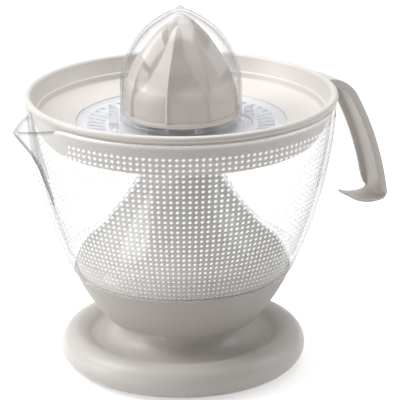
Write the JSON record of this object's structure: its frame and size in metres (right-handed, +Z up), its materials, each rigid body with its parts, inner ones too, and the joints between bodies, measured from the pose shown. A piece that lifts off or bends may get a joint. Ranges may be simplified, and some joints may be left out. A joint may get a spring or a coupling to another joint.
{
  "type": "citrus press juicer",
  "caption": "Electric citrus press with a clear dotted jug, tray and sieve, nested reamer cones, side handle and a round motor base.",
  "frame": {"origin": "on the drive axis, on the plane that the grip ring stands on", "axes": "+Z up along the drive axis, +X towards the jug's handle, -X towards its spout"},
  "size_m": [0.2394, 0.176, 0.2096],
  "materials": {
    "ring_plastic": "gloss off-white moulding",
    "bowl_plastic": "warm grey satin moulding with fine turned lines",
    "bell_plastic": "gloss off-white moulding",
    "jug_clear": "clear moulding with a grid of small raised lenses",
    "sieve_clear": "clear moulding",
    "cone_clear": "clear moulding",
    "tray_plastic": "gloss off-white moulding",
    "handle_plastic": "satin off-white moulding",
    "cone_plastic": "gloss off-white moulding",
    "rubber_grey": "matt rubber",
    "steel": "zinc-plated steel",
    "laminations": "stacked sheet steel",
    "copper": "enamelled copper wire",
    "sinter": "sintered bronze",
    "gear_nylon": "natural nylon",
    "works_black": "black moulding",
    "magnet": "plastic-bonded ferrite",
    "plate_plastic": "plain moulding"
  },
  "bodies": {
    "motor_base": {"foot_ring": "ring_plastic", "base_plate": "plate_plastic", "grip_ring": "rubber_grey", "base_screws": "steel", "cable_gland": "rubber_grey", "bowl_nubs": "ring_plastic", "bowl_housing": "bowl_plastic", "pedestal_screws": "steel", "bell_housing": "bell_plastic", "shaft_bush": "sinter", "shaft_seal": "rubber_grey", "low_plate": "plate_plastic", "plate_screws": "steel", "high_plate": "steel", "plate_pillars": "steel", "pillar_nuts": "steel", "gear_pins": "steel", "shaft_low_bush": "sinter", "motor_cradle": "works_black", "stator_core": "laminations", "coil_bobbins": "works_black", "coil_windings": "copper", "rotor_bushes": "sinter", "return_spring": "steel", "switch_body": "works_black", "terminal_block": "works_black"},
    "rotor": {"rotor_magnet": "magnet", "rotor_hub": "works_black", "rotor_shaft": "steel", "rotor_pinion": "gear_nylon"},
    "first_gear": {"first_gear": "gear_nylon"},
    "second_gear": {"second_gear": "gear_nylon"},
    "press_washer": {"thrust_washer": "steel"},
    "drive": {"drive_shaft": "steel", "output_gear": "gear_nylon", "shaft_clip": "steel"},
    "switch_lever": {"switch_lever": "steel"},
    "jug": {"jug": "jug_clear", "handle": "handle_plastic", "handle_rivet": "steel"},
    "tray": {"tray": "tray_plastic", "sieve": "sieve_clear", "selector_clip": "sieve_clear"},
    "selector": {"pulp_selector": "sieve_clear"},
    "collar": {"hub_collar": "gear_nylon"},
    "spindle": {"drive_spindle": "cone_plastic"},
    "small_cone": {"small_cone": "cone_plastic"},
    "large_cone": {"large_cone": "cone_clear"}
  },
  "joints": [
    {"name": "cone_press", "type": "slide", "parent": "tray", "child": "collar", "axis": [0, 0, 1], "range_m": [-0.003, 0]},
    {"name": "cone_spin", "type": "hinge", "parent": "collar", "child": "spindle", "pos_m": [0, 0, 0.145], "axis": [0, 0, 1], "continuous": true},
    {"name": "small_cone_lift", "type": "slide", "parent": "spindle", "child": "small_cone", "axis": [0, 0, 1], "range_m": [0, 0.05]},
    {"name": "large_cone_lift", "type": "slide", "parent": "small_cone", "child": "large_cone", "axis": [0, 0, 1], "range_m": [0, 0.09]},
    {"name": "jug_lift", "type": "slide", "parent": "motor_base", "child": "jug", "axis": [0, 0, 1], "range_m": [0, 0.13]},
    {"name": "tray_lift", "type": "slide", "parent": "jug", "child": "tray", "axis": [0, 0, 1], "range_m": [0, 0.05]},
    {"name": "selector_turn", "type": "hinge", "parent": "tray", "child": "selector", "pos_m": [0, 0, 0.1375], "axis": [0, 0, 1], "range_deg": [0, 30]},
    {"name": "shaft_press", "type": "slide", "parent": "motor_base", "child": "press_washer", "axis": [0, 0, 1], "range_m": [-0.003, 0], "stiffness_N_per_m": 400, "springref_m": 0.01, "deforming": ["return_spring"]},
    {"name": "shaft_spin", "type": "hinge", "parent": "press_washer", "child": "drive", "pos_m": [0, 0, 0.08], "axis": [0, 0, 1], "continuous": true},
    {"name": "second_gear_spin", "type": "hinge", "parent": "motor_base", "child": "second_gear", "pos_m": [0.0023, 0.02339, 0.077], "axis": [0, 0, 1], "continuous": true},
    {"name": "first_gear_spin", "type": "hinge", "parent": "motor_base", "child": "first_gear", "pos_m": [-0.018, 0.018, 0.069], "axis": [0, 0, 1], "continuous": true},
    {"name": "rotor_spin", "type": "hinge", "parent": "motor_base", "child": "rotor", "pos_m": [-0.018, 0, 0.045], "axis": [0, 0, 1], "continuous": true},
    {"name": "lever_turn", "type": "hinge", "parent": "motor_base", "child": "switch_lever", "pos_m": [0.014, 0, 0.0566], "axis": [0, -1, 0], "range_deg": [0, 12.5]}
  ],
  "couplings": [
    {"joint": "first_gear_spin", "follows": "rotor_spin", "ratio": -0.2},
    {"joint": "second_gear_spin", "follows": "rotor_spin", "ratio": 0.05},
    {"joint": "shaft_spin", "follows": "rotor_spin", "ratio": -0.021212},
    {"joint": "cone_spin", "follows": "rotor_spin", "ratio": -0.021212},
    {"joint": "cone_press", "follows": "shaft_press", "ratio": 1},
    {"joint": "lever_turn", "follows": "shaft_press", "rad_per_m": -71.2}
  ]
}
